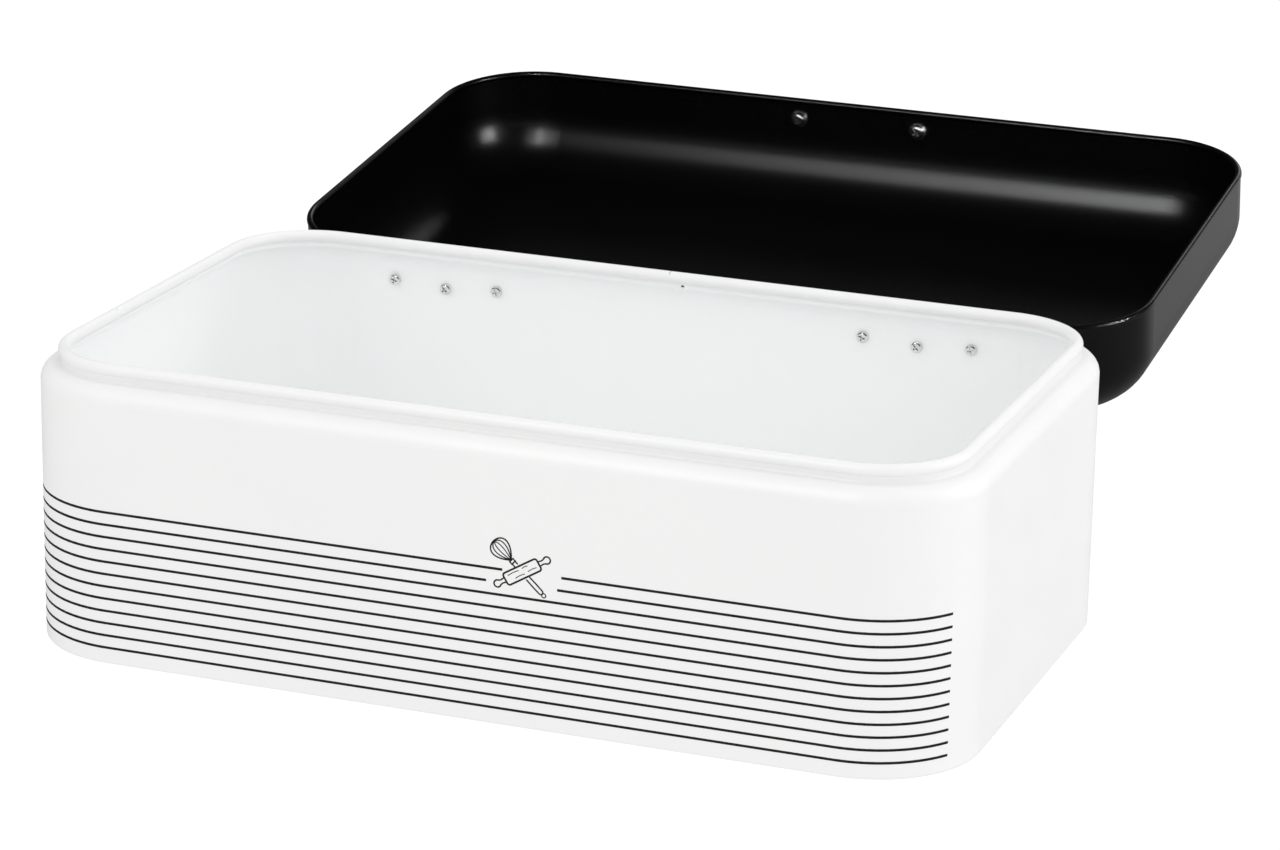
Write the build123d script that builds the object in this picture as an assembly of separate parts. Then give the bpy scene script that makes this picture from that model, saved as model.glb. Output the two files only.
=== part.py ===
from build123d import *
import math
import os

os.makedirs("parts", exist_ok=True)

# Bread box: a rounded sheet-steel box with a neck, and a deep lid that is
# hinged along the top of the rear wall. Millimetres, +Z up, the floor at z = 0,
# the front towards -Y. It stands with the lid open, at the stop.
# It is drawn about the middle of the box, and written with its origin on the
# floor under the middle of the whole opened object, ORIGIN_Y further back.

# ---------------------------------------------------------------- dimensions
BOX_W, BOX_D, BOX_R = 425.0, 255.0, 48.0      # plan of the box, outside
FOOT_GAP = 0.9                                # the rim stands this far up
T_BOX = 0.8                                   # box sheet
BOTTOM_R = 1.5                                # bend at the foot of the wall
FLANGE = 10.0                                 # turned-in bottom flange
WALL_TOP = 117.3                              # here the shoulder starts
SHOULDER_R = 7.4                              # convex shoulder
SHOULDER_IN = 1.4                             # concave corner under the neck
NECK_INSET = SHOULDER_R + SHOULDER_IN         # outer face of the neck
BEAD_R, BEAD_INSET = 2.65, 7.65                # wired rim of the neck
NECK_TOP = 132.7
SEAM_SLOT = 0.5
DRAIN_X, DRAIN_Z, DRAIN_D = 5.5, 125.5, 2.0   # small hole below the rim

PAN_GAP, PAN_T, PAN_LIP, PAN_R = 0.06, 0.8, 7.0, 2.2
PAN_STEP, PAN_STEP_INSET = 1.6, 34.0          # raised middle of the floor

FOOT_X, FOOT_Y, FOOT_R = 160.0, 106.0, 7.0

LID_INSET = 2.0                               # lid plan inside the box plan
T_LID = 0.6
LID_RIM = 124.3                               # closed: lowest line of the rim
LID_H = 52.1
LID_TOP_R = 30.0
LID_BEAD_R, LID_BEAD_IN = 1.6, 1.2            # wired rim of the lid

AXIS_Y, AXIS_Z = BOX_D / 2 + 5.5, 121.8       # hinge axis, parallel to X
OPEN_DEG = 172.7                              # opening from closed to the stop
HINGE_X, HINGE_W = 116.0, 65.0
LEAF_T, LEAF_H = 1.2, 22.0
EYE_R, PIN_R = 2.8, 1.5
KNUCKLES, KNUCKLE_GAP = 5, 0.3
ROW_X = 25.8                                  # outer screws from the middle one
BODY_ROW = (109.9, 108.2)                     # outer, middle heights
LID_ROW = (AXIS_Z + 11.9, AXIS_Z + 13.6)

M3_R, M3_HOLE = 1.45, 1.6
NUT_H, NUT_AF = 5.9, 5.5

HANDLE_X = 32.0
HANDLE_Z = LID_RIM + 11.3
HANDLE_OUT = 13.4

ORIGIN_Y = 138.5                              # middle of box and open lid

W2, D2 = BOX_W / 2, BOX_D / 2


# ---------------------------------------------------------------- helpers
def plan(w, d, r, z):
    """rounded rectangle standing at height z"""
    return Pos(0, 0, z) * RectangleRounded(w, d, r)


def ring_path(w, d, r, z):
    """closed path round a rounded rectangle, from the middle of its +X side"""
    a, b = w / 2, d / 2
    e = [Line((a, 0, z), (a, b - r, z))]
    k = r * math.sqrt(0.5)
    e.append(ThreePointArc((a, b - r, z), (a - r + k, b - r + k, z), (a - r, b, z)))
    e.append(Line((a - r, b, z), (-a + r, b, z)))
    e.append(ThreePointArc((-a + r, b, z), (-a + r - k, b - r + k, z), (-a, b - r, z)))
    e.append(Line((-a, b - r, z), (-a, -b + r, z)))
    e.append(ThreePointArc((-a, -b + r, z), (-a + r - k, -b + r - k, z), (-a + r, -b, z)))
    e.append(Line((-a + r, -b, z), (a - r, -b, z)))
    e.append(ThreePointArc((a - r, -b, z), (a - r + k, -b + r - k, z), (a, -b + r, z)))
    e.append(Line((a, -b + r, z), (a, 0, z)))
    return Wire(e)


def xz(x, z):
    return (x, 0.0, z)


def arc_mid(cx, cz, r, deg):
    t = math.radians(deg)
    return xz(cx + r * math.cos(t), cz + r * math.sin(t))


def solid_of(shape):
    """one clean solid out of a boolean result"""
    s = shape.solids()
    s = sorted(s, key=lambda q: -q.volume)
    return s[0]


def write(name, solids):
    if not isinstance(solids, (list, tuple)):
        solids = [solids]
    out = []
    for s in solids:
        out += list(s.solids())
    out = [Pos(0, -ORIGIN_Y, 0) * s for s in out]
    for i, s in enumerate(out):
        s.label = name if len(out) == 1 else f"{name}_{i + 1}"
    shape = out[0] if len(out) == 1 else Compound(label=name, children=out)
    export_step(shape, f"parts/{name}.step")
    v = sum(s.volume for s in out)
    print(f"{name:28s} {len(out):2d} solid(s) {v / 1000:9.3f} cm3")


def opened(shape):
    """a lid piece, drawn closed, turned to the open stop"""
    return shape.rotate(Axis((0, AXIS_Y, AXIS_Z), (1, 0, 0)), -OPEN_DEG)


# ---------------------------------------------------------------- box wall
def box_wall():
    x = lambda inset: W2 - inset
    z0, t, rb = FOOT_GAP, T_BOX, BOTTOM_R
    rs, rn = SHOULDER_R, SHOULDER_IN
    cz = WALL_TOP + rs + rn                   # centre height of the concave corner
    top = NECK_TOP - BEAD_R                   # the sheet ends inside the wired rim
    e = []
    # outside face, from the flange's inner edge up to the rim
    e.append(Line(xz(x(FLANGE), z0), xz(x(rb), z0)))
    e.append(ThreePointArc(xz(x(rb), z0), arc_mid(x(rb), z0 + rb, rb, -45), xz(x(0), z0 + rb)))
    e.append(Line(xz(x(0), z0 + rb), xz(x(0), WALL_TOP)))
    e.append(ThreePointArc(xz(x(0), WALL_TOP), arc_mid(x(rs), WALL_TOP, rs, 45), xz(x(rs), WALL_TOP + rs)))
    e.append(ThreePointArc(xz(x(rs), WALL_TOP + rs), arc_mid(x(rs), cz, rn, 225), xz(x(rs + rn), cz)))
    e.append(Line(xz(x(rs + rn), cz), xz(x(rs + rn), top)))
    # over the end of the sheet and down the inside face
    e.append(Line(xz(x(rs + rn), top), xz(x(rs + rn + t), top)))
    e.append(Line(xz(x(rs + rn + t), top), xz(x(rs + rn + t), cz)))
    e.append(ThreePointArc(xz(x(rs + rn + t), cz), arc_mid(x(rs), cz, rn + t, 225), xz(x(rs), cz - rn - t)))
    e.append(ThreePointArc(xz(x(rs), WALL_TOP + rs - t), arc_mid(x(rs), WALL_TOP, rs - t, 45), xz(x(t), WALL_TOP)))
    e.append(Line(xz(x(t), WALL_TOP), xz(x(t), z0 + rb)))
    e.append(ThreePointArc(xz(x(t), z0 + rb), arc_mid(x(rb), z0 + rb, rb - t, -45), xz(x(rb), z0 + t)))
    e.append(Line(xz(x(rb), z0 + t), xz(x(FLANGE), z0 + t)))
    e.append(Line(xz(x(FLANGE), z0 + t), xz(x(FLANGE), z0)))
    face = Face(Wire(e))
    return sweep(face, path=ring_path(BOX_W, BOX_D, BOX_R, 0))


def wired_rim(w, d, r, inset, radius, z):
    """round bead that follows a rounded rectangle, centre at inset + radius"""
    ci = inset + radius
    path = ring_path(w - 2 * ci, d - 2 * ci, r - ci, z)
    sec = Plane(origin=(w / 2 - ci, 0, z), x_dir=(1, 0, 0), z_dir=(0, 1, 0)) * Circle(radius)
    return sweep(sec, path=path)


def y_hole(x, z, d, y0, y1):
    """round hole along Y from y0 to y1"""
    return Pos(x, (y0 + y1) / 2, z) * Rot(90, 0, 0) * Cylinder(d / 2, abs(y1 - y0))


def hinge_points(side, rows):
    """screw places of one hinge: outer, middle, outer"""
    c = side * HINGE_X
    return [(c - ROW_X, rows[0]), (c, rows[1]), (c + ROW_X, rows[0])]


def make_box_shell():
    s = box_wall()
    s = s + wired_rim(BOX_W, BOX_D, BOX_R, BEAD_INSET, BEAD_R, NECK_TOP - BEAD_R)
    for side in (-1, 1):
        for x, z in hinge_points(side, BODY_ROW):
            s = s - y_hole(x, z, 2 * M3_HOLE, D2 - 3, D2 + 3)
    # drain hole in the neck, and the joint in the wired rim, both at the rear
    s = s - y_hole(DRAIN_X, DRAIN_Z, DRAIN_D, D2 - 14, D2 - 8.0)
    s = s - Pos(0, D2 - BEAD_INSET - BEAD_R, NECK_TOP) * Box(SEAM_SLOT, 8.0, 2.2)
    return solid_of(s)


# ---------------------------------------------------------------- floor pan
def make_floor_pan():
    g = T_BOX + PAN_GAP
    z0 = FOOT_GAP + T_BOX
    outer = extrude(plan(BOX_W - 2 * g, BOX_D - 2 * g, BOX_R - g, z0), PAN_LIP)
    outer = fillet(outer.faces().sort_by(Axis.Z)[0].edges(), PAN_R)
    i = g + PAN_T
    inner = extrude(plan(BOX_W - 2 * i, BOX_D - 2 * i, BOX_R - i, z0 + PAN_T), PAN_LIP)
    inner = fillet(inner.faces().sort_by(Axis.Z)[0].edges(), PAN_R - PAN_T)
    pan = outer - inner
    # raised middle, pressed up out of the sheet with sloping sides
    w, d, r = BOX_W - 2 * PAN_STEP_INSET, BOX_D - 2 * PAN_STEP_INSET, 26.0
    up = extrude(plan(w, d, r, z0 + PAN_T - 0.01), PAN_STEP + 0.01, taper=40)
    low = extrude(plan(w - 0.6, d - 0.6, r - 0.3, z0), PAN_STEP, taper=40)
    pan = pan + up - low
    return solid_of(pan)


# ---------------------------------------------------------------- feet
def make_feet():
    z1 = FOOT_GAP + T_BOX
    out = []
    for sx in (-1, 1):
        for sy in (-1, 1):
            f = Pos(sx * FOOT_X, sy * FOOT_Y, z1 / 2) * Cylinder(FOOT_R, z1)
            f = chamfer(f.faces().sort_by(Axis.Z)[0].edges(), 0.5)
            out.append(f)
    return out


# ---------------------------------------------------------------- lid
LID_W, LID_D, LID_R = BOX_W - 2 * LID_INSET, BOX_D - 2 * LID_INSET, BOX_R - LID_INSET


def make_lid_closed():
    z0 = LID_RIM + LID_BEAD_R                 # sheet starts inside the rim bead
    h = LID_H - LID_BEAD_R
    outer = extrude(plan(LID_W, LID_D, LID_R, z0), h)
    outer = fillet(outer.faces().sort_by(Axis.Z)[-1].edges(), LID_TOP_R)
    t = T_LID
    inner = extrude(plan(LID_W - 2 * t, LID_D - 2 * t, LID_R - t, z0), h - t)
    inner = fillet(inner.faces().sort_by(Axis.Z)[-1].edges(), LID_TOP_R - t)
    s = outer - inner
    s = s + wired_rim(LID_W, LID_D, LID_R, LID_BEAD_IN - LID_BEAD_R, LID_BEAD_R, z0)
    y_rear = D2 - LID_INSET
    for side in (-1, 1):
        for x, z in hinge_points(side, LID_ROW):
            s = s - y_hole(x, z, 2 * M3_HOLE, y_rear - 3, y_rear + 3)
    for side in (-1, 1):
        s = s - y_hole(side * HANDLE_X, HANDLE_Z, 4.4, -y_rear - 3, -y_rear + 3)
    return solid_of(s)


# ---------------------------------------------------------------- hinges
def knuckle_spans(owner):
    """x spans of the knuckles of one leaf, about the hinge's middle"""
    k = (HINGE_W - KNUCKLE_GAP * (KNUCKLES - 1)) / KNUCKLES
    out = []
    for i in range(KNUCKLES):
        a = -HINGE_W / 2 + i * (k + KNUCKLE_GAP)
        if (i % 2 == 0) == (owner == "body"):
            out.append((a, a + k))
    return out


def strip(points, t, x0, x1):
    """bent strip of thickness t along a (y, z) centre line, between x0 and x1"""
    left, right = [], []
    n = len(points)
    for i, (y, z) in enumerate(points):
        if i == 0:
            d = (points[1][0] - y, points[1][1] - z)
            dirs = [d]
        elif i == n - 1:
            d = (y - points[i - 1][0], z - points[i - 1][1])
            dirs = [d]
        else:
            dirs = [(y - points[i - 1][0], z - points[i - 1][1]),
                    (points[i + 1][0] - y, points[i + 1][1] - z)]
        ns = []
        for dy, dz in dirs:
            l = math.hypot(dy, dz)
            ns.append((-dz / l, dy / l))
        ny, nz = sum(v[0] for v in ns), sum(v[1] for v in ns)
        l = math.hypot(ny, nz)
        ny, nz = ny / l, nz / l
        k = (t / 2) / (ny * ns[0][0] + nz * ns[0][1])
        left.append((y + ny * k, z + nz * k))
        right.append((y - ny * k, z - nz * k))
    ring = left + right[::-1]
    w = Wire.make_polygon([Vector(x0, y, z) for y, z in ring], close=True)
    return extrude(Face(w), amount=x1 - x0, dir=(1, 0, 0))


def x_cyl(r, x0, x1, y=AXIS_Y, z=AXIS_Z):
    return Pos((x0 + x1) / 2, y, z) * Rot(0, 90, 0) * Cylinder(r, x1 - x0)


def make_leaf(owner, side, bore):
    c = side * HINGE_X
    y_in = AXIS_Y - EYE_R + LEAF_T / 2        # the leaf is tangent to its eyes
    if owner == "body":
        y_flat = D2 + LEAF_T / 2
        z_end = AXIS_Z - LEAF_H
        pts = [(y_flat, z_end), (y_flat, 114.6), (y_in, 118.0), (y_in, AXIS_Z)]
        z_cut = AXIS_Z - 5.2
        keep_side = -1
        rows = BODY_ROW
    else:
        y_flat = D2 - LID_INSET + LEAF_T / 2
        z_end = AXIS_Z + LEAF_H
        pts = [(y_flat, z_end), (y_flat, 130.0), (y_in, 125.3), (y_in, AXIS_Z)]
        z_cut = AXIS_Z + 5.2
        keep_side = 1
        rows = LID_ROW
    p = strip(pts, LEAF_T, -HINGE_W / 2, HINGE_W / 2)
    own = knuckle_spans(owner)
    other = knuckle_spans("lid" if owner == "body" else "body")
    # room for the other leaf's eyes
    for a, b in other:
        lo, hi = a - KNUCKLE_GAP, b + KNUCKLE_GAP
        if abs(a + HINGE_W / 2) < 1e-6:
            lo -= 2
        if abs(b - HINGE_W / 2) < 1e-6:
            hi += 2
        zc = z_cut + (-keep_side) * 5.0
        p = p - Pos((lo + hi) / 2, AXIS_Y, zc) * Box(hi - lo, 16.0, 10.0)
    # eyes
    for a, b in own:
        p = p + x_cyl(EYE_R, a, b)
    p = p - x_cyl(bore, -HINGE_W / 2 - 1, HINGE_W / 2 + 1)
    # rounded free corners
    zf = z_end
    sgn = 1 if owner == "body" else -1
    for sx in (-1, 1):
        rc = 3.0
        blk = Pos(sx * (HINGE_W / 2 - rc / 2 + 0.5), y_flat, zf + sgn * (rc / 2 - 0.5)) * Box(rc + 1, 4, rc + 1)
        cyl = Pos(sx * (HINGE_W / 2 - rc), y_flat, zf + sgn * rc) * Rot(90, 0, 0) * Cylinder(rc, 6)
        p = p - (blk - cyl)
    p = Pos(c, 0, 0) * p
    for x, z in hinge_points(side, rows):
        p = p - y_hole(x, z, 2 * M3_HOLE, y_flat - 3, y_flat + 3)
    return solid_of(p)


def make_pin(side):
    c = side * HINGE_X
    a, b = c - HINGE_W / 2, c + HINGE_W / 2
    pin = x_cyl(PIN_R, a - 0.2, b + 0.2)
    for x, s in ((a, -1), (b, 1)):
        head = x_cyl(2.3, min(x + s * 0.1, x + s * 1.1), max(x + s * 0.1, x + s * 1.1))
        f = head.faces().sort_by(Axis.X)[0 if s < 0 else -1]
        head = fillet(f.edges(), 0.8)
        pin = pin + head
    return solid_of(pin)


# ---------------------------------------------------------------- fasteners
def pan_screw(head_r, head_h, shank_r, length, slot):
    """screw along +Z: the head's seat at z = 0, head below it, shank above"""
    head = Pos(0, 0, -head_h / 2) * Cylinder(head_r, head_h)
    head = fillet(head.faces().sort_by(Axis.Z)[0].edges(), head_h * 0.62)
    shank = Pos(0, 0, length / 2) * Cylinder(shank_r, length)
    shank = chamfer(shank.faces().sort_by(Axis.Z)[-1].edges(), 0.3)
    s = head + shank
    w, l, d = slot
    for a in (0, 90):
        s = s - Pos(0, 0, -head_h) * Rot(0, 0, a + 20) * Box(l, w, 2 * d)
    s = s - Pos(0, 0, -head_h + 0.35) * Cone(w * 1.15, w * 0.75, 2 * d - 0.1)
    return s


def cap_nut():
    """domed nut along +Z, its seat at z = 0"""
    hexa = extrude(RegularPolygon(NUT_AF / 2, 6, major_radius=False), 2.9)
    ch = Pos(0, 0, 1.45) * Cylinder(NUT_AF / 2 / math.cos(math.pi / 6) * 0.985, 2.9)
    ch = chamfer(ch.faces().sort_by(Axis.Z)[-1].edges(), 0.35)
    hexa = hexa & ch
    r = 2.6
    dome = Pos(0, 0, (NUT_H - r) / 2) * Cylinder(r, NUT_H - r) + Pos(0, 0, NUT_H - r) * Sphere(r)
    nut = hexa + dome
    nut = nut - Pos(0, 0, 2.1) * Cylinder(M3_R + 0.05, 4.2)
    # the sphere's lower half stays inside the nut
    nut = nut & (Pos(0, 0, 5) * Cylinder(8, 10))
    return solid_of(nut)


def along_y(shape, sign, x, y, z):
    """stand a +Z piece so that it points along sign * Y, seat at y"""
    return Pos(x, y, z) * Rot(-90 * sign, 0, 0) * shape


def hinge_fasteners(side, which):
    screws, nuts = [], []
    if which == "body":
        y_in, y_out, rows = D2 - T_BOX, D2 + LEAF_T, BODY_ROW
    else:
        y_in, y_out, rows = D2 - LID_INSET - T_LID, D2 - LID_INSET + LEAF_T, LID_ROW
    length = y_out - y_in + 3.9
    for k, (x, z) in enumerate(hinge_points(side, rows)):
        s = pan_screw(2.8, 1.9, M3_R, length, (0.62, 3.1, 0.8))
        screws.append(along_y(Rot(0, 0, 25 * k) * s, 1, x, y_in, z))
        nuts.append(along_y(Rot(0, 0, 17 * k) * cap_nut(), 1, x, y_out, z))
    return screws, nuts


# ---------------------------------------------------------------- handle
def make_handle_closed():
    y0 = -(D2 - LID_INSET)
    yc = y0 - HANDLE_OUT + 2.25               # centre line at the middle
    ye = yc + 1.5                             # and at the ends
    path = ThreePointArc((-36.5, ye, HANDLE_Z), (0, yc, HANDLE_Z), (36.5, ye, HANDLE_Z))
    sec = Plane(origin=path @ 0, x_dir=(0, 0, 1), z_dir=path % 0) * RectangleRounded(7.0, 4.5, 1.9)
    bar = sweep(sec, path=path)
    for f in (bar.faces().sort_by(Axis.X)[0], bar.faces().sort_by(Axis.X)[-1]):
        bar = fillet(f.edges(), 1.6)
    h = bar
    for sx in (-1, 1):
        post = Pos(sx * HANDLE_X, (y0 + ye) / 2, HANDLE_Z) * Rot(90, 0, 0) * Cylinder(3.4, abs(ye - y0))
        foot = Pos(sx * HANDLE_X, y0 - 1.0, HANDLE_Z) * Rot(90, 0, 0) * Cylinder(4.6, 2.0)
        foot = chamfer(foot.faces().sort_by(Axis.Y)[0].edges(), 0.8)
        h = h + post + foot
    for sx in (-1, 1):
        h = h - y_hole(sx * HANDLE_X, HANDLE_Z, 4.0, y0 + 1, y0 - 8.6)
    return solid_of(h)


def handle_fasteners():
    y_wall = -(D2 - LID_INSET - T_LID)
    screws, washers = [], []
    for k, sx in enumerate((-1, 1)):
        w = Cylinder(4.6, 0.8) - Cylinder(2.15, 2.0)
        w = chamfer(w.faces().sort_by(Axis.Z)[0].edges().sort_by(SortBy.LENGTH)[-1], 0.25)
        washers.append(Pos(sx * HANDLE_X, y_wall + 0.4, HANDLE_Z) * Rot(90, 0, 0) * w)
        s = pan_screw(3.8, 2.6, 1.95, 9.4, (0.85, 4.2, 1.1))
        screws.append(along_y(Rot(0, 0, 35 * k) * s, -1, sx * HANDLE_X, y_wall + 0.8, HANDLE_Z))
    return screws, washers


# ---------------------------------------------------------------- write out
write("box_shell", make_box_shell())
write("floor_pan", make_floor_pan())
write("rubber_feet", make_feet())
write("lid_shell", opened(make_lid_closed()))

for side, name in ((-1, "left"), (1, "right")):
    write(f"{name}_hinge_box_leaf", make_leaf("body", side, PIN_R + 0.02))
    write(f"{name}_hinge_lid_leaf", opened(make_leaf("lid", side, PIN_R + 0.06)))
    write(f"{name}_hinge_pin", make_pin(side))
    sc, nu = hinge_fasteners(side, "body")
    write(f"{name}_hinge_box_screws", sc)
    write(f"{name}_hinge_box_cap_nuts", nu)
    sc, nu = hinge_fasteners(side, "lid")
    write(f"{name}_hinge_lid_screws", [opened(s) for s in sc])
    write(f"{name}_hinge_lid_cap_nuts", [opened(s) for s in nu])

write("handle", opened(make_handle_closed()))
sc, wa = handle_fasteners()
write("handle_screws", [opened(s) for s in sc])
write("handle_washers", [opened(s) for s in wa])
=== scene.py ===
import math

import bmesh
import bpy
from mathutils import Matrix, Vector


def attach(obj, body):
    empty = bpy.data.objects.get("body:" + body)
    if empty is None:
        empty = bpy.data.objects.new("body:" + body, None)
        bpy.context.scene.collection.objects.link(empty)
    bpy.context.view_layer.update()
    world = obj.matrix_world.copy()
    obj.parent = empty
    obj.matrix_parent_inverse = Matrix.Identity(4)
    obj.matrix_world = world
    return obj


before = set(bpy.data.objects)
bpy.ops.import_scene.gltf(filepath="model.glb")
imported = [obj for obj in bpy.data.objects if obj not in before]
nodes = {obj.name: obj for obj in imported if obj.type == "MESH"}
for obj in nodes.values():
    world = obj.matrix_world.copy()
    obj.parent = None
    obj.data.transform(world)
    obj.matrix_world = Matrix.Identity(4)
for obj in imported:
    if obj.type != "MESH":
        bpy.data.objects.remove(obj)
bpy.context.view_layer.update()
scene = bpy.context.scene

# ------------------------------------------------------------------ driving sizes, metres
FRONT_Y = -0.2660  # outside of the box's front wall
CORNER_R = 0.0480  # outside radius of the box's upright corners
CORNER_X = 0.1645  # centre of the front corners, left and right of the middle
CORNER_Y = FRONT_Y + CORNER_R
LINE_END = -30.9  # where the printed lines stop, degrees from +X round the right corner
LINE_TOP = 0.0698  # middle of the top line
LINE_PITCH = 0.00557
LINE_W = 0.00112  # width of a printed line
LINES = 12
INK_OUT, INK_IN = 0.00007, 0.00003  # how far the ink stands out of the wall, and sinks in
MOTIF_X, MOTIF_Z = 0.0275, 0.0700  # where the motif's two tools cross
HINGE_AXIS = Vector((0.0, -0.0055, 0.1218))
OPEN_DEG = 172.7
SKY = 1.02  # even light from all round


# ------------------------------------------------------------------ camera
def make_camera():
    azimuth, elevation, roll = (math.radians(v) for v in (19.193, 17.583, 1.441))
    target, distance = Vector((0.07853, -0.1385, 0.10298)), 1.9301
    back = Vector(
        (
            math.sin(azimuth) * math.cos(elevation),
            -math.cos(azimuth) * math.cos(elevation),
            math.sin(elevation),
        )
    )
    right = (-back).cross(Vector((0, 0, 1))).normalized()
    up = right.cross(-back).normalized()
    right_r = math.cos(roll) * right + math.sin(roll) * up
    up_r = -math.sin(roll) * right + math.cos(roll) * up
    data = bpy.data.cameras.new("camera")
    data.lens, data.sensor_width, data.sensor_fit = 125.908, 36.0, "HORIZONTAL"
    data.shift_x = -0.082
    data.clip_start, data.clip_end = 0.05, 50.0
    cam = bpy.data.objects.new("camera", data)
    scene.collection.objects.link(cam)
    m = Matrix((right_r, up_r, back)).transposed().to_4x4()
    m.translation = target + back * distance
    cam.matrix_world = m
    scene.camera = cam


# ------------------------------------------------------------------ material building blocks
class Finish:
    """A Principled material with a few shorthand calls for its nodes."""

    def __init__(self, name, **sockets):
        self.mat = bpy.data.materials.new(name)
        self.mat.use_nodes = True
        self.tree = self.mat.node_tree
        self.tree.nodes.clear()
        out = self.node("ShaderNodeOutputMaterial")
        self.bsdf = self.node("ShaderNodeBsdfPrincipled")
        self.tree.links.new(self.bsdf.outputs["BSDF"], out.inputs["Surface"])
        self.place = self.node("ShaderNodeTexCoord").outputs["Object"]
        for key, value in sockets.items():
            self.bsdf.inputs[key.replace("_", " ")].default_value = value

    def node(self, kind, **settings):
        n = self.tree.nodes.new(kind)
        for key, value in settings.items():
            setattr(n, key, value)
        return n

    def put(self, socket, value):
        """Links an output to a socket, or sets the socket's own value."""
        if isinstance(value, bpy.types.NodeSocket):
            self.tree.links.new(value, socket)
        else:
            socket.default_value = value

    def math(self, operation, a, b=0.0, clamp=False):
        n = self.node("ShaderNodeMath", operation=operation, use_clamp=clamp)
        self.put(n.inputs[0], a)
        self.put(n.inputs[1], b)
        return n.outputs[0]

    def axes(self, vector):
        n = self.node("ShaderNodeSeparateXYZ")
        self.put(n.inputs[0], vector)
        return n.outputs

    def mapping(self, vector, scale=(1, 1, 1), turn=(0, 0, 0), move=(0, 0, 0)):
        n = self.node("ShaderNodeMapping", vector_type="POINT")
        self.put(n.inputs["Vector"], vector)
        n.inputs["Scale"].default_value = scale
        n.inputs["Rotation"].default_value = turn
        n.inputs["Location"].default_value = move
        return n.outputs[0]

    def noise(self, scale, detail=2.0, rough=0.5, vector=None, distortion=0.0):
        n = self.node("ShaderNodeTexNoise")
        self.put(n.inputs["Vector"], self.place if vector is None else vector)
        n.inputs["Scale"].default_value = scale
        n.inputs["Detail"].default_value = detail
        n.inputs["Roughness"].default_value = rough
        n.inputs["Distortion"].default_value = distortion
        return n.outputs["Fac"]

    def cells(self, scale, vector=None, feature="F1"):
        n = self.node("ShaderNodeTexVoronoi", feature=feature)
        self.put(n.inputs["Vector"], self.place if vector is None else vector)
        n.inputs["Scale"].default_value = scale
        return n.outputs["Distance"]

    def span(self, value, low, high, to_low=0.0, to_high=1.0, smooth=False):
        n = self.node(
            "ShaderNodeMapRange",
            clamp=True,
            interpolation_type="SMOOTHSTEP" if smooth else "LINEAR",
        )
        for key, v in (
            ("Value", value),
            ("From Min", low),
            ("From Max", high),
            ("To Min", to_low),
            ("To Max", to_high),
        ):
            self.put(n.inputs[key], v)
        return n.outputs["Result"]

    def blend(self, factor, a, b):
        n = self.node("ShaderNodeMix", data_type="RGBA", blend_type="MIX")
        self.put(n.inputs["Factor"], factor)
        self.put(n.inputs[6], a)
        self.put(n.inputs[7], b)
        return n.outputs[2]

    def bump(self, height, strength, distance, under=None):
        n = self.node("ShaderNodeBump")
        n.inputs["Strength"].default_value = strength
        n.inputs["Distance"].default_value = distance
        self.put(n.inputs["Height"], height)
        if under is not None:
            self.put(n.inputs["Normal"], under)
        return n.outputs["Normal"]

    def set(self, **sockets):
        for key, value in sockets.items():
            self.put(self.bsdf.inputs[key.replace("_", " ")], value)
        return self.mat


def rgb(r, g, b):
    return (r, g, b, 1.0)


# ------------------------------------------------------------------ finishes
def white_enamel():
    """Satin white powder coat on sheet steel: a fine orange peel, faint cloudiness where it
    has been wiped, and steel showing in a few rubbed spots along the wire bead and the
    bottom bend."""
    f = Finish("box_white_coat", IOR=1.5, Specular_IOR_Level=0.4)
    x, y, z = f.axes(f.place)
    clouds = f.noise(9.0, 4.0, 0.55)
    speck = f.noise(1900.0, 2.0, 0.6)
    colour = f.blend(
        f.span(clouds, 0.35, 0.65, smooth=True),
        rgb(0.843, 0.844, 0.842),
        rgb(0.857, 0.857, 0.854),
    )
    colour = f.blend(f.span(speck, 0.60, 0.80, 0.0, 0.35), colour, rgb(0.79, 0.79, 0.78))
    # the walls' inner faces and the floor pan get a brighter, slightly cooler copy of the same coat:
    # painted light standing in for the light that fills the box
    geometry = f.node("ShaderNodeNewGeometry")
    nx, ny, nz = f.axes(geometry.outputs["Normal"])
    inward = f.math(
        "ADD",
        f.math("MULTIPLY", nx, f.math("MULTIPLY", x, -5.0)),
        f.math("MULTIPLY", ny, f.math("MULTIPLY", f.math("ADD", y, 0.1385), -8.0)),
    )
    interior_painted_light = f.math(
        "MULTIPLY", f.span(inward, 0.02, 0.10), f.span(z, 0.1250, 0.1295, 1.0, 0.0)
    )
    pan = f.math("MULTIPLY", f.span(nz, 0.3, 0.7), f.span(z, 0.020, 0.030, 1.0, 0.0))
    interior_painted_light = f.math("MAXIMUM", interior_painted_light, pan)
    # painted light: the interior and floor pan are coloured brighter than the outside coat
    colour = f.blend(interior_painted_light, colour, rgb(0.956, 0.965, 0.965))
    # rubbed spots along the edges
    patches = f.math(
        "MULTIPLY",
        f.span(f.noise(260.0, 3.0, 0.6), 0.66, 0.72),
        f.span(f.noise(31.0, 2.0, 0.5), 0.55, 0.70),
    )
    edge = f.math(
        "MAXIMUM", f.span(z, 0.1312, 0.1325), f.span(z, 0.0010, 0.0022, 1.0, 0.0)
    )
    worn = f.math("MULTIPLY", f.math("MULTIPLY", patches, edge), 0.85)
    colour = f.blend(worn, colour, rgb(0.42, 0.41, 0.40))
    smears = f.noise(22.0, 5.0, 0.62, f.mapping(f.place, (1.0, 1.0, 3.2)))
    rough = f.math(
        "ADD", f.span(smears, 0.30, 0.72, 0.43, 0.54), f.math("MULTIPLY", worn, 0.12)
    )
    peel = f.bump(f.noise(780.0, 2.0, 0.5), 0.10, 0.0004)
    peel = f.bump(f.noise(150.0, 1.0, 0.4), 0.05, 0.0008, peel)
    return f.set(Base_Color=colour, Roughness=rough, Normal=peel)


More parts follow.
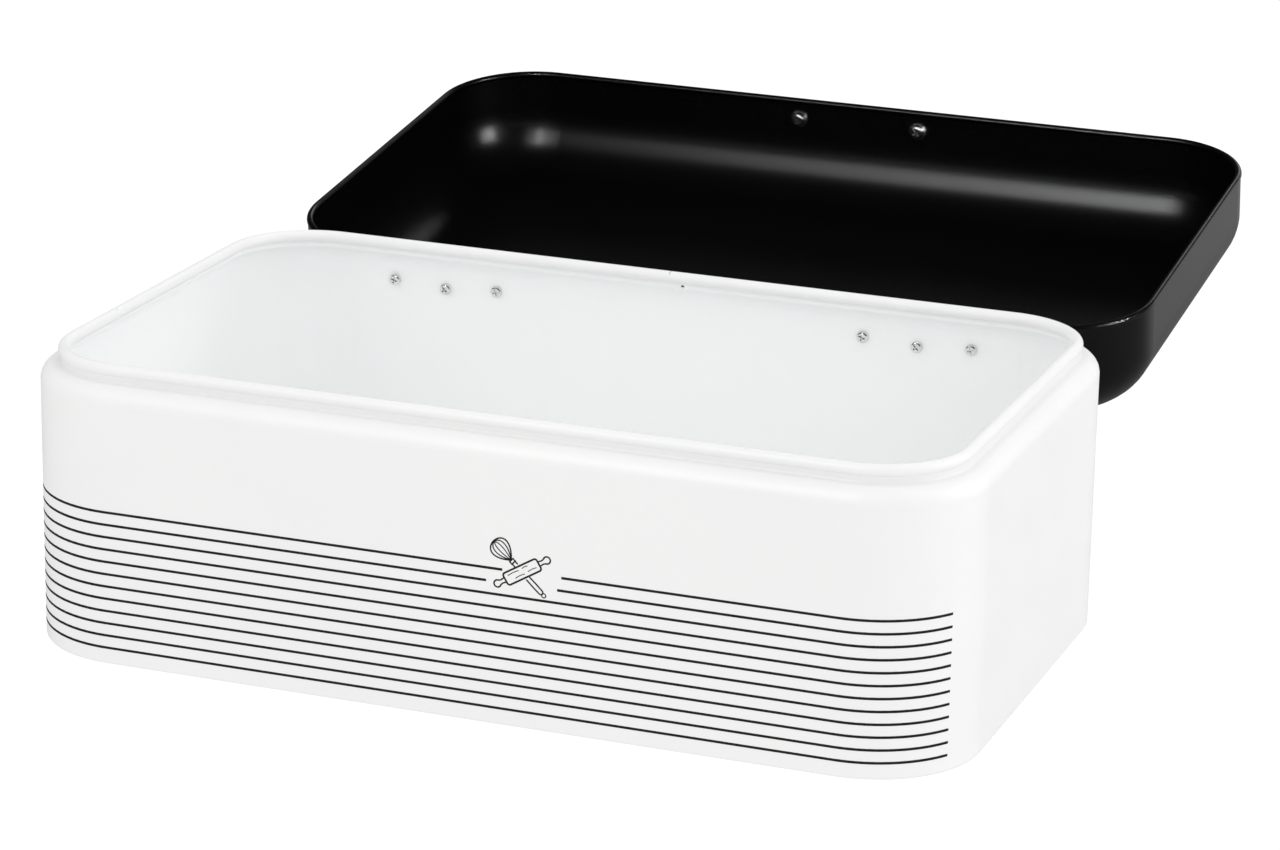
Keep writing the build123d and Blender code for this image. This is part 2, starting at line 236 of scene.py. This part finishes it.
def black_enamel():
    """Satin black powder coat of the lid and its handle, rubbed to grey in a few places on
    the wire bead."""
    f = Finish("lid_black_coat", IOR=1.5, Specular_IOR_Level=0.5)
    turn = Matrix.Rotation(math.radians(OPEN_DEG), 3, "X")
    shut = f.mapping(
        f.place,
        turn=(math.radians(OPEN_DEG), 0, 0),
        move=tuple(HINGE_AXIS - turn @ HINGE_AXIS),
    )
    x, y, z = f.axes(shut)
    clouds = f.noise(11.0, 4.0, 0.55)
    speck = f.noise(1700.0, 2.0, 0.6)
    colour = f.blend(
        f.span(clouds, 0.35, 0.65, smooth=True),
        rgb(0.0003, 0.0003, 0.0005),
        rgb(0.0006, 0.0006, 0.0010),
    )
    colour = f.blend(f.span(speck, 0.62, 0.80, 0.0, 0.5), colour, rgb(0.0018, 0.0018, 0.0023))
    patches = f.math(
        "MULTIPLY",
        f.span(f.noise(240.0, 3.0, 0.6), 0.64, 0.72),
        f.span(f.noise(27.0, 2.0, 0.5), 0.55, 0.70),
    )
    edge = f.span(z, 0.1236, 0.1250, 1.0, 0.0)
    worn = f.math("MULTIPLY", f.math("MULTIPLY", patches, edge), 0.7)
    colour = f.blend(worn, colour, rgb(0.09, 0.09, 0.09))
    smears = f.noise(19.0, 1.5, 0.45, f.mapping(f.place, (1.0, 2.6, 1.0)))
    rough = f.math(
        "ADD", f.span(smears, 0.05, 0.95, 0.250, 0.272), f.math("MULTIPLY", worn, -0.05)
    )
    peel = f.bump(f.noise(760.0, 2.0, 0.5), 0.10, 0.0004)
    return f.set(Base_Color=colour, Roughness=rough, Normal=peel)


def nickel():
    """Bright nickel plate of the screws, washers and cap nuts, with hairline scratches and
    a patchy darker film."""
    f = Finish("nickel_plate", Metallic=1.0, IOR=2.0)
    film = f.noise(240.0, 3.0, 0.6)
    colour = f.blend(
        f.span(film, 0.40, 0.75), rgb(0.78, 0.78, 0.775), rgb(0.64, 0.64, 0.635)
    )
    hair = f.noise(2600.0, 2.0, 0.7, f.mapping(f.place, (1.0, 0.35, 0.35)))
    rough = f.math(
        "ADD",
        f.span(hair, 0.35, 0.75, 0.13, 0.24),
        f.span(film, 0.55, 0.75, 0.0, 0.08),
    )
    fine = f.bump(hair, 0.05, 0.0001)
    return f.set(Base_Color=colour, Roughness=rough, Normal=fine)


def brushed_steel():
    """Hinge leaves and pins: mill-finish steel strip, brushed along its length."""
    f = Finish("hinge_brushed_steel", Metallic=1.0, IOR=2.0)
    grain = f.noise(900.0, 3.0, 0.65, f.mapping(f.place, (0.05, 1.0, 1.0)))
    tone = f.noise(70.0, 3.0, 0.6)
    colour = f.blend(
        f.span(grain, 0.30, 0.70), rgb(0.50, 0.495, 0.48), rgb(0.64, 0.635, 0.62)
    )
    colour = f.blend(f.span(tone, 0.55, 0.75, 0.0, 0.5), colour, rgb(0.42, 0.41, 0.39))
    rough = f.math(
        "ADD", f.span(grain, 0.30, 0.70, 0.28, 0.42), f.span(tone, 0.5, 0.8, 0.0, 0.10)
    )
    return f.set(Base_Color=colour, Roughness=rough, Normal=f.bump(grain, 0.15, 0.0002))


def rubber():
    """Grey-black moulded rubber of the feet, dusty towards the floor."""
    f = Finish("foot_rubber_moulded", IOR=1.45, Specular_IOR_Level=0.3)
    x, y, z = f.axes(f.place)
    grain = f.noise(1500.0, 3.0, 0.6)
    dust = f.math(
        "MULTIPLY", f.span(f.noise(130.0, 4.0, 0.6), 0.35, 0.75), f.span(z, 0.0, 0.0017, 1.0, 0.3)
    )
    colour = f.blend(dust, rgb(0.022, 0.022, 0.023), rgb(0.075, 0.072, 0.068))
    rough = f.span(grain, 0.30, 0.70, 0.66, 0.88)
    return f.set(Base_Color=colour, Roughness=rough, Normal=f.bump(grain, 0.25, 0.0002))


def ink():
    """Black printed enamel of the lines and of the motif: a touch uneven, with a soft
    satin surface."""
    f = Finish("black_print", IOR=1.5, Specular_IOR_Level=0.4)
    mottle = f.noise(420.0, 3.0, 0.6)
    colour = f.blend(
        f.span(mottle, 0.35, 0.75), rgb(0.0075, 0.0075, 0.0080), rgb(0.016, 0.016, 0.017)
    )
    rough = f.span(f.noise(900.0, 2.0, 0.6), 0.30, 0.70, 0.40, 0.56)
    return f.set(Base_Color=colour, Roughness=rough, Normal=f.bump(mottle, 0.08, 0.00005))


# ------------------------------------------------------------------ printed pieces
def front_path(x0, x1):
    """Points and outward normals along the outside of the front, from x0 to x1. A value
    beyond the flat front stands for the end of the line round that corner."""
    start = -CORNER_X if x0 is None else x0
    end = CORNER_X if x1 is None else x1
    path = []
    if x0 is None:
        for k in range(25):
            ang = math.radians(180.0 - LINE_END + k / 24.0 * (90.0 + LINE_END))
            path.append(
                (
                    CORNER_R * math.cos(ang) - CORNER_X,
                    CORNER_R * math.sin(ang) + CORNER_Y,
                    math.cos(ang),
                    math.sin(ang),
                )
            )
    steps = max(2, int((end - start) / 0.012))
    for k in range(steps + 1):
        if k == 0 and x0 is None:
            continue
        path.append((start + (end - start) * k / steps, FRONT_Y, 0.0, -1.0))
    if x1 is None:
        for k in range(1, 25):
            t = k / 24.0
            ang = math.radians(-90.0 + t * (90.0 + LINE_END))
            path.append(
                (
                    CORNER_X + CORNER_R * math.cos(ang),
                    CORNER_Y + CORNER_R * math.sin(ang),
                    math.cos(ang),
                    math.sin(ang),
                )
            )
    return path


def band(bm, path, z, width):
    """A closed thin strip that follows the path, its long edges slightly rounded off."""
    h = width / 2
    section = (
        (-INK_IN, -h),
        (INK_OUT * 0.55, -h),
        (INK_OUT, -h * 0.82),
        (INK_OUT, h * 0.82),
        (INK_OUT * 0.55, h),
        (-INK_IN, h),
    )
    rings = []
    for x, y, nx, ny in path:
        rings.append([bm.verts.new((x + nx * o, y + ny * o, z + v)) for o, v in section])
    count = len(section)
    for a, b in zip(rings, rings[1:]):
        for i in range(count):
            j = (i + 1) % count
            bm.faces.new((a[i], b[i], b[j], a[j]))
    bm.faces.new(list(reversed(rings[0])))
    bm.faces.new(rings[-1])


def finish_piece(name, bm, material, body):
    bmesh.ops.recalc_face_normals(bm, faces=bm.faces)
    mesh = bpy.data.meshes.new(name)
    bm.to_mesh(mesh)
    bm.free()
    mesh.materials.append(material)
    piece = bpy.data.objects.new(name, mesh)
    scene.collection.objects.link(piece)
    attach(piece, body)
    return piece


def make_lines(material):
    gaps = {0: (0.0187, 0.0449), 1: (0.0115, 0.0431)}
    for i in range(LINES):
        bm = bmesh.new()
        z = LINE_TOP - i * LINE_PITCH
        if i in gaps:
            band(bm, front_path(None, gaps[i][0]), z, LINE_W)
            band(bm, front_path(gaps[i][1], None), z, LINE_W)
        else:
            band(bm, front_path(None, None), z, LINE_W)
        finish_piece(f"printed_line_{i + 1:02d}", bm, material, "base")


def stroke(bm, points, width, closed=False, lift=1.0):
    """A printed stroke on the flat front: points are (x, z) in metres. Open strokes get
    round ends."""
    n = len(points)
    rings = []

    def ring(x, z, sx, sz, w):
        h = w / 2
        top = INK_OUT * lift
        section = (
            (-h, -INK_IN),
            (-h, top * 0.55),
            (-h * 0.82, top),
            (h * 0.82, top),
            (h, top * 0.55),
            (h, -INK_IN),
        )
        rings.append([bm.verts.new((x + sx * o, FRONT_Y - out, z + sz * o)) for o, out in section])

    def heading(i):
        if closed:
            a, b = points[i - 1], points[(i + 1) % n]
        else:
            a, b = points[max(i - 1, 0)], points[min(i + 1, n - 1)]
        length = math.hypot(b[0] - a[0], b[1] - a[1])
        return (b[0] - a[0]) / length, (b[1] - a[1]) / length

    if not closed:
        dx, dz = heading(0)
        for deg in (75, 50, 25):
            c, t = math.cos(math.radians(deg)), math.sin(math.radians(deg)) * width / 2
            ring(points[0][0] - dx * t, points[0][1] - dz * t, -dz, dx, width * c)
    for i, (x, z) in enumerate(points):
        dx, dz = heading(i)
        ring(x, z, -dz, dx, width)
    if not closed:
        dx, dz = heading(n - 1)
        for deg in (25, 50, 75):
            c, t = math.cos(math.radians(deg)), math.sin(math.radians(deg)) * width / 2
            ring(points[-1][0] + dx * t, points[-1][1] + dz * t, -dz, dx, width * c)
    count = len(rings[0])
    pairs = list(zip(rings, rings[1:]))
    if closed:
        pairs.append((rings[-1], rings[0]))
    for a, b in pairs:
        for i in range(count):
            j = (i + 1) % count
            bm.faces.new((a[i], b[i], b[j], a[j]))
    if not closed:
        bm.faces.new(list(reversed(rings[0])))
        bm.faces.new(rings[-1])


def placed(points, angle):
    """(along, across) in millimetres about the motif's crossing point, to (x, z) metres."""
    c, s = math.cos(math.radians(angle)), math.sin(math.radians(angle))
    return [
        (MOTIF_X + 0.001 * (u * c - v * s), MOTIF_Z + 0.001 * (u * s + v * c)) for u, v in points
    ]


def rounded_box(u0, u1, half, radius, steps=6):
    pts = []
    for cu, cv, start in (
        (u1 - radius, half - radius, 90.0),
        (u1 - radius, -half + radius, 0.0),
        (u0 + radius, -half + radius, -90.0),
        (u0 + radius, half - radius, -180.0),
    ):
        for k in range(steps + 1):
            a = math.radians(start - 90.0 * k / steps)
            pts.append((cu + radius * math.cos(a), cv + radius * math.sin(a)))
    dense = []
    for (a, b), (c, d) in zip(pts, pts[1:] + pts[:1]):
        gap = math.hypot(c - a, d - b)
        parts = max(1, int(gap / 1.2))
        dense += [(a + (c - a) * k / parts, b + (d - b) * k / parts) for k in range(parts)]
    return dense


def arc(cu, cv, r, start, end, steps=14):
    return [
        (
            cu + r * math.cos(math.radians(start + (end - start) * k / steps)),
            cv + r * math.sin(math.radians(start + (end - start) * k / steps)),
        )
        for k in range(steps + 1)
    ]


def make_motif(material):
    """A small line drawing over the gap of the upper lines: a rolling pin laid across a
    balloon whisk."""
    # rolling pin, in front
    tilt = 31.0
    bm = bmesh.new()
    stroke(bm, placed(rounded_box(-8.6, 8.6, 2.75, 1.1), tilt), 0.00080, closed=True)
    for side in (-1, 1):
        neck = [(side * 9.0, 1.0), (side * 10.4, 0.78), (side * 11.62, 1.08)]
        stroke(bm, placed(neck, tilt), 0.00064, lift=0.9)
        stroke(bm, placed([(u, -v) for u, v in neck], tilt), 0.00064, lift=0.9)
        middle = 90 - side * 90
        knob = arc(side * 12.7, 0.0, 1.55, middle - 134, middle + 134, 22)
        stroke(bm, placed(knob, tilt), 0.00070, lift=0.95)
    for u0, u1, v in ((-6.6, -1.2, 1.15), (0.8, 3.4, 1.35), (-4.0, 0.6, -1.2), (2.6, 6.8, -0.9)):
        grain = [(u0 + (u1 - u0) * k / 8, v + 0.22 * math.sin(3.1 * k / 8)) for k in range(9)]
        stroke(bm, placed(grain, tilt), 0.00036, lift=0.8)
    finish_piece("printed_rolling_pin", bm, material, "base")
    # whisk, behind: its handle is hidden where the pin lies across it
    tilt = 137.0
    bm = bmesh.new()
    for v in (-0.95, 0.95):
        stroke(bm, placed([(-11.4, v), (-8.0, v * 1.08), (-3.75, v)], tilt), 0.00066)
        stroke(bm, placed([(3.75, v), (5.2, v * 0.92)], tilt), 0.00066)
    stroke(bm, placed(arc(-11.4, 0.0, 0.95, 90, 270, 10), tilt), 0.00066, lift=0.9)
    ring = arc(-13.25, 0.0, 0.9, 0, 345, 15)
    stroke(bm, placed(ring, tilt), 0.00050, closed=True, lift=0.85)
    for v in (-1.45, 1.45):
        stroke(bm, placed([(5.2, v * 0.72), (6.6, v * 0.72)], tilt), 0.00060, lift=0.95)
    stroke(bm, placed([(5.2, -1.2), (5.2, 1.2)], tilt), 0.00060, lift=0.85)
    stroke(bm, placed([(6.6, -1.2), (6.6, 1.2)], tilt), 0.00060, lift=0.85)
    for width, reach, w, lift in (
        (5.6, 17.4, 0.00066, 1.0),
        (3.5, 17.0, 0.00054, 0.92),
        (1.3, 16.6, 0.00048, 0.86),
    ):
        loop = []
        for k in range(1, 40):
            # a teardrop: narrow at the ferrule, broad and round towards its far end
            t = 2 * math.pi * k / 40
            u = 6.7 + (reach - 6.7) * (1 - math.cos(t)) / 2
            loop.append((u, width * math.sin(t) * math.sin(t / 2) ** 0.9))
        stroke(bm, placed(loop, tilt), w, lift=lift)
    finish_piece("printed_whisk", bm, material, "base")


# ------------------------------------------------------------------ floor, world and lights
def make_floor():
    f = Finish("floor_pale", IOR=1.4, Specular_IOR_Level=0.2)
    grain = f.noise(3.0, 3.0, 0.5)
    colour = f.blend(grain, rgb(0.035, 0.035, 0.035), rgb(0.045, 0.045, 0.045))
    f.set(Base_Color=colour, Roughness=0.8)
    f.bsdf.inputs["Emission Color"].default_value = rgb(1, 1, 1)
    f.bsdf.inputs["Emission Strength"].default_value = 1.0
    bm = bmesh.new()
    bmesh.ops.create_circle(bm, cap_ends=True, segments=96, radius=6.0)
    mesh = bpy.data.meshes.new("floor")
    bm.to_mesh(mesh)
    bm.free()
    mesh.materials.append(f.mat)
    floor = bpy.data.objects.new("floor", mesh)
    scene.collection.objects.link(floor)
    floor.visible_glossy = False


def make_world():
    """White surroundings. What the satin coats mirror is darker: a bright sweep low down
    behind the object, a dimmer floor at the front and sides, and a dark room above."""
    world = bpy.data.worlds.new("studio")
    scene.world = world
    world.use_nodes = True
    tree = world.node_tree
    tree.nodes.clear()

    def node(kind, **settings):
        n = tree.nodes.new(kind)
        for key, value in settings.items():
            setattr(n, key, value)
        return n

    def span(value, low, high, to_low, to_high):
        n = node("ShaderNodeMapRange", clamp=True, interpolation_type="SMOOTHSTEP")
        tree.links.new(value, n.inputs["Value"])
        for key, v in (("From Min", low), ("From Max", high), ("To Min", to_low), ("To Max", to_high)):
            n.inputs[key].default_value = v
        return n.outputs["Result"]

    def combine(operation, one, two):
        n = node("ShaderNodeMath", operation=operation)
        for i, v in enumerate((one, two)):
            if isinstance(v, bpy.types.NodeSocket):
                tree.links.new(v, n.inputs[i])
            else:
                n.inputs[i].default_value = v
        return n.outputs[0]

    out = node("ShaderNodeOutputWorld")
    axes = node("ShaderNodeSeparateXYZ")
    tree.links.new(node("ShaderNodeTexCoord").outputs["Generated"], axes.inputs[0])
    dx, dy, dz = axes.outputs
    floor_part = span(dz, -0.10, 0.02, 0.155, 0.0)
    # the sweep reaches higher at the right
    edge, high_edge = span(dz, -0.04, 0.08, 1.0, 0.0), span(dz, 0.18, 0.32, 1.0, 0.0)
    more = combine("MULTIPLY", span(dx, -0.10, 0.12, 0.0, 1.0), combine("SUBTRACT", high_edge, edge))
    rise = combine("MULTIPLY", span(dz, -0.42, -0.04, 0.0, 0.54), combine("ADD", edge, more))
    sweep = combine("MULTIPLY", span(dy, 0.62, 0.92, 0.0, 1.0), rise)
    # seen by the lid's floor over its far wall
    over_wall = combine("MULTIPLY", span(dz, 0.44, 0.54, 0.0, 0.042), span(dz, 0.60, 0.74, 1.0, 0.0))
    low_glow = combine("ADD", span(dz, 0.30, 0.70, 0.030, 0.0), over_wall)
    glow = combine("MULTIPLY", span(dy, 0.45, 0.88, 0.0, 1.0), low_glow)
    # a soft box high up behind: it edges the wire bead of the lid's sides
    facing = combine("ADD", combine("MULTIPLY", dy, 0.885), combine("MULTIPLY", dz, 0.465))
    box_behind = span(facing, 0.970, 0.996, 0.0, 1.3)
    room = combine("ADD", combine("ADD", glow, 0.006), box_behind)
    gloss = node("ShaderNodeBackground")
    gloss.inputs["Color"].default_value = (1.0, 1.0, 1.0, 1.0)
    mirrored = combine("ADD", combine("ADD", floor_part, sweep), room)
    tree.links.new(mirrored, gloss.inputs["Strength"])
    even = node("ShaderNodeBackground")
    even.inputs["Color"].default_value = (1.0, 1.0, 1.0, 1.0)
    even.inputs["Strength"].default_value = SKY
    white = node("ShaderNodeBackground")
    white.inputs["Color"].default_value = (1.0, 1.0, 1.0, 1.0)
    white.inputs["Strength"].default_value = 1.0
    path = node("ShaderNodeLightPath")
    first = node("ShaderNodeMixShader")
    tree.links.new(path.outputs["Is Glossy Ray"], first.inputs[0])
    tree.links.new(even.outputs[0], first.inputs[1])
    tree.links.new(gloss.outputs[0], first.inputs[2])
    second = node("ShaderNodeMixShader")
    tree.links.new(path.outputs["Is Camera Ray"], second.inputs[0])
    tree.links.new(first.outputs[0], second.inputs[1])
    tree.links.new(white.outputs[0], second.inputs[2])
    tree.links.new(second.outputs[0], out.inputs["Surface"])


def area(name, place, target, size, power, diffuse=True, glossy=True, shape="RECTANGLE", spread=180.0, colour=(1, 1, 1)):
    data = bpy.data.lights.new(name, "AREA")
    data.shape = shape
    data.size, data.size_y = size
    data.energy = power
    data.color = colour
    data.spread = math.radians(spread)
    lamp = bpy.data.objects.new(name, data)
    scene.collection.objects.link(lamp)
    place, target = Vector(place), Vector(target)
    lamp.location = place
    lamp.rotation_mode = "QUATERNION"
    lamp.rotation_quaternion = (target - place).to_track_quat("-Z", "Y")
    lamp.visible_camera = False
    lamp.visible_diffuse = diffuse
    lamp.visible_glossy = glossy
    return lamp


def make_lights():
    aim = (0.0, -0.12, 0.08)
    # soft boxes that only light: their mirror images are left to the strips below
    for name, place, size, power in (
        ("soft_top", (0.0, -0.15, 1.0), (0.5, 0.4), 0.65),
        ("soft_left_front", (-1.3, -1.1, 0.9), (0.8, 0.8), 0.5),
        ("soft_right_front", (1.3, -1.1, 0.9), (0.8, 0.8), 0.95),
        ("soft_right", (1.6, -0.1, 0.5), (0.8, 0.6), 0.9),
        ("soft_right_rear", (1.5, 0.6, 0.5), (0.8, 0.6), 2.4),
    ):
        area(name, place, aim, size, power, glossy=False)
    # two upright strip lights and a dim panel that are seen in the satin coats
    corner = Vector((-0.195, 0.240, 0.117))

    def from_corner(azimuth, elevation, distance):
        a, e = math.radians(azimuth), math.radians(elevation)
        return corner + distance * Vector(
            (math.sin(a) * math.cos(e), -math.cos(a) * math.cos(e), math.sin(e))
        )

    lid_middle = (0.0, 0.20, 0.12)
    for name, place, size, power in (
        ("strip_front", from_corner(8.0, 25.5, 1.11), (0.21, 0.56), 2.80),
        ("strip_right", from_corner(75.0, 12.5, 0.90), (0.20, 0.36), 2.45),
        ("panel_front", from_corner(-6.0, 26.5, 1.11), (0.30, 0.56), 1.2),
    ):
        strip = area(name, place, lid_middle, size, power, diffuse=False)
        strip.data.cycles.max_bounces = 0  # mirrored once, not again by a second wall
        strip.data.cycles.use_multiple_importance_sampling = False


def main():
    scene.view_settings.view_transform = "Standard"
    make_camera()
    make_world()
    make_floor()
    make_lights()
    white, black = white_enamel(), black_enamel()
    plate, steel, foot, print_ink = nickel(), brushed_steel(), rubber(), ink()
    for name, node in nodes.items():
        if name in ("box_shell", "floor_pan"):
            finish = white
        elif name in ("lid_shell", "handle"):
            finish = black
        elif name == "rubber_feet":
            finish = foot
        elif name.endswith(("leaf", "pin")):
            finish = steel
        else:
            finish = plate
        for slot in node.material_slots:
            slot.material = finish
    make_lines(print_ink)
    make_motif(print_ink)


main()
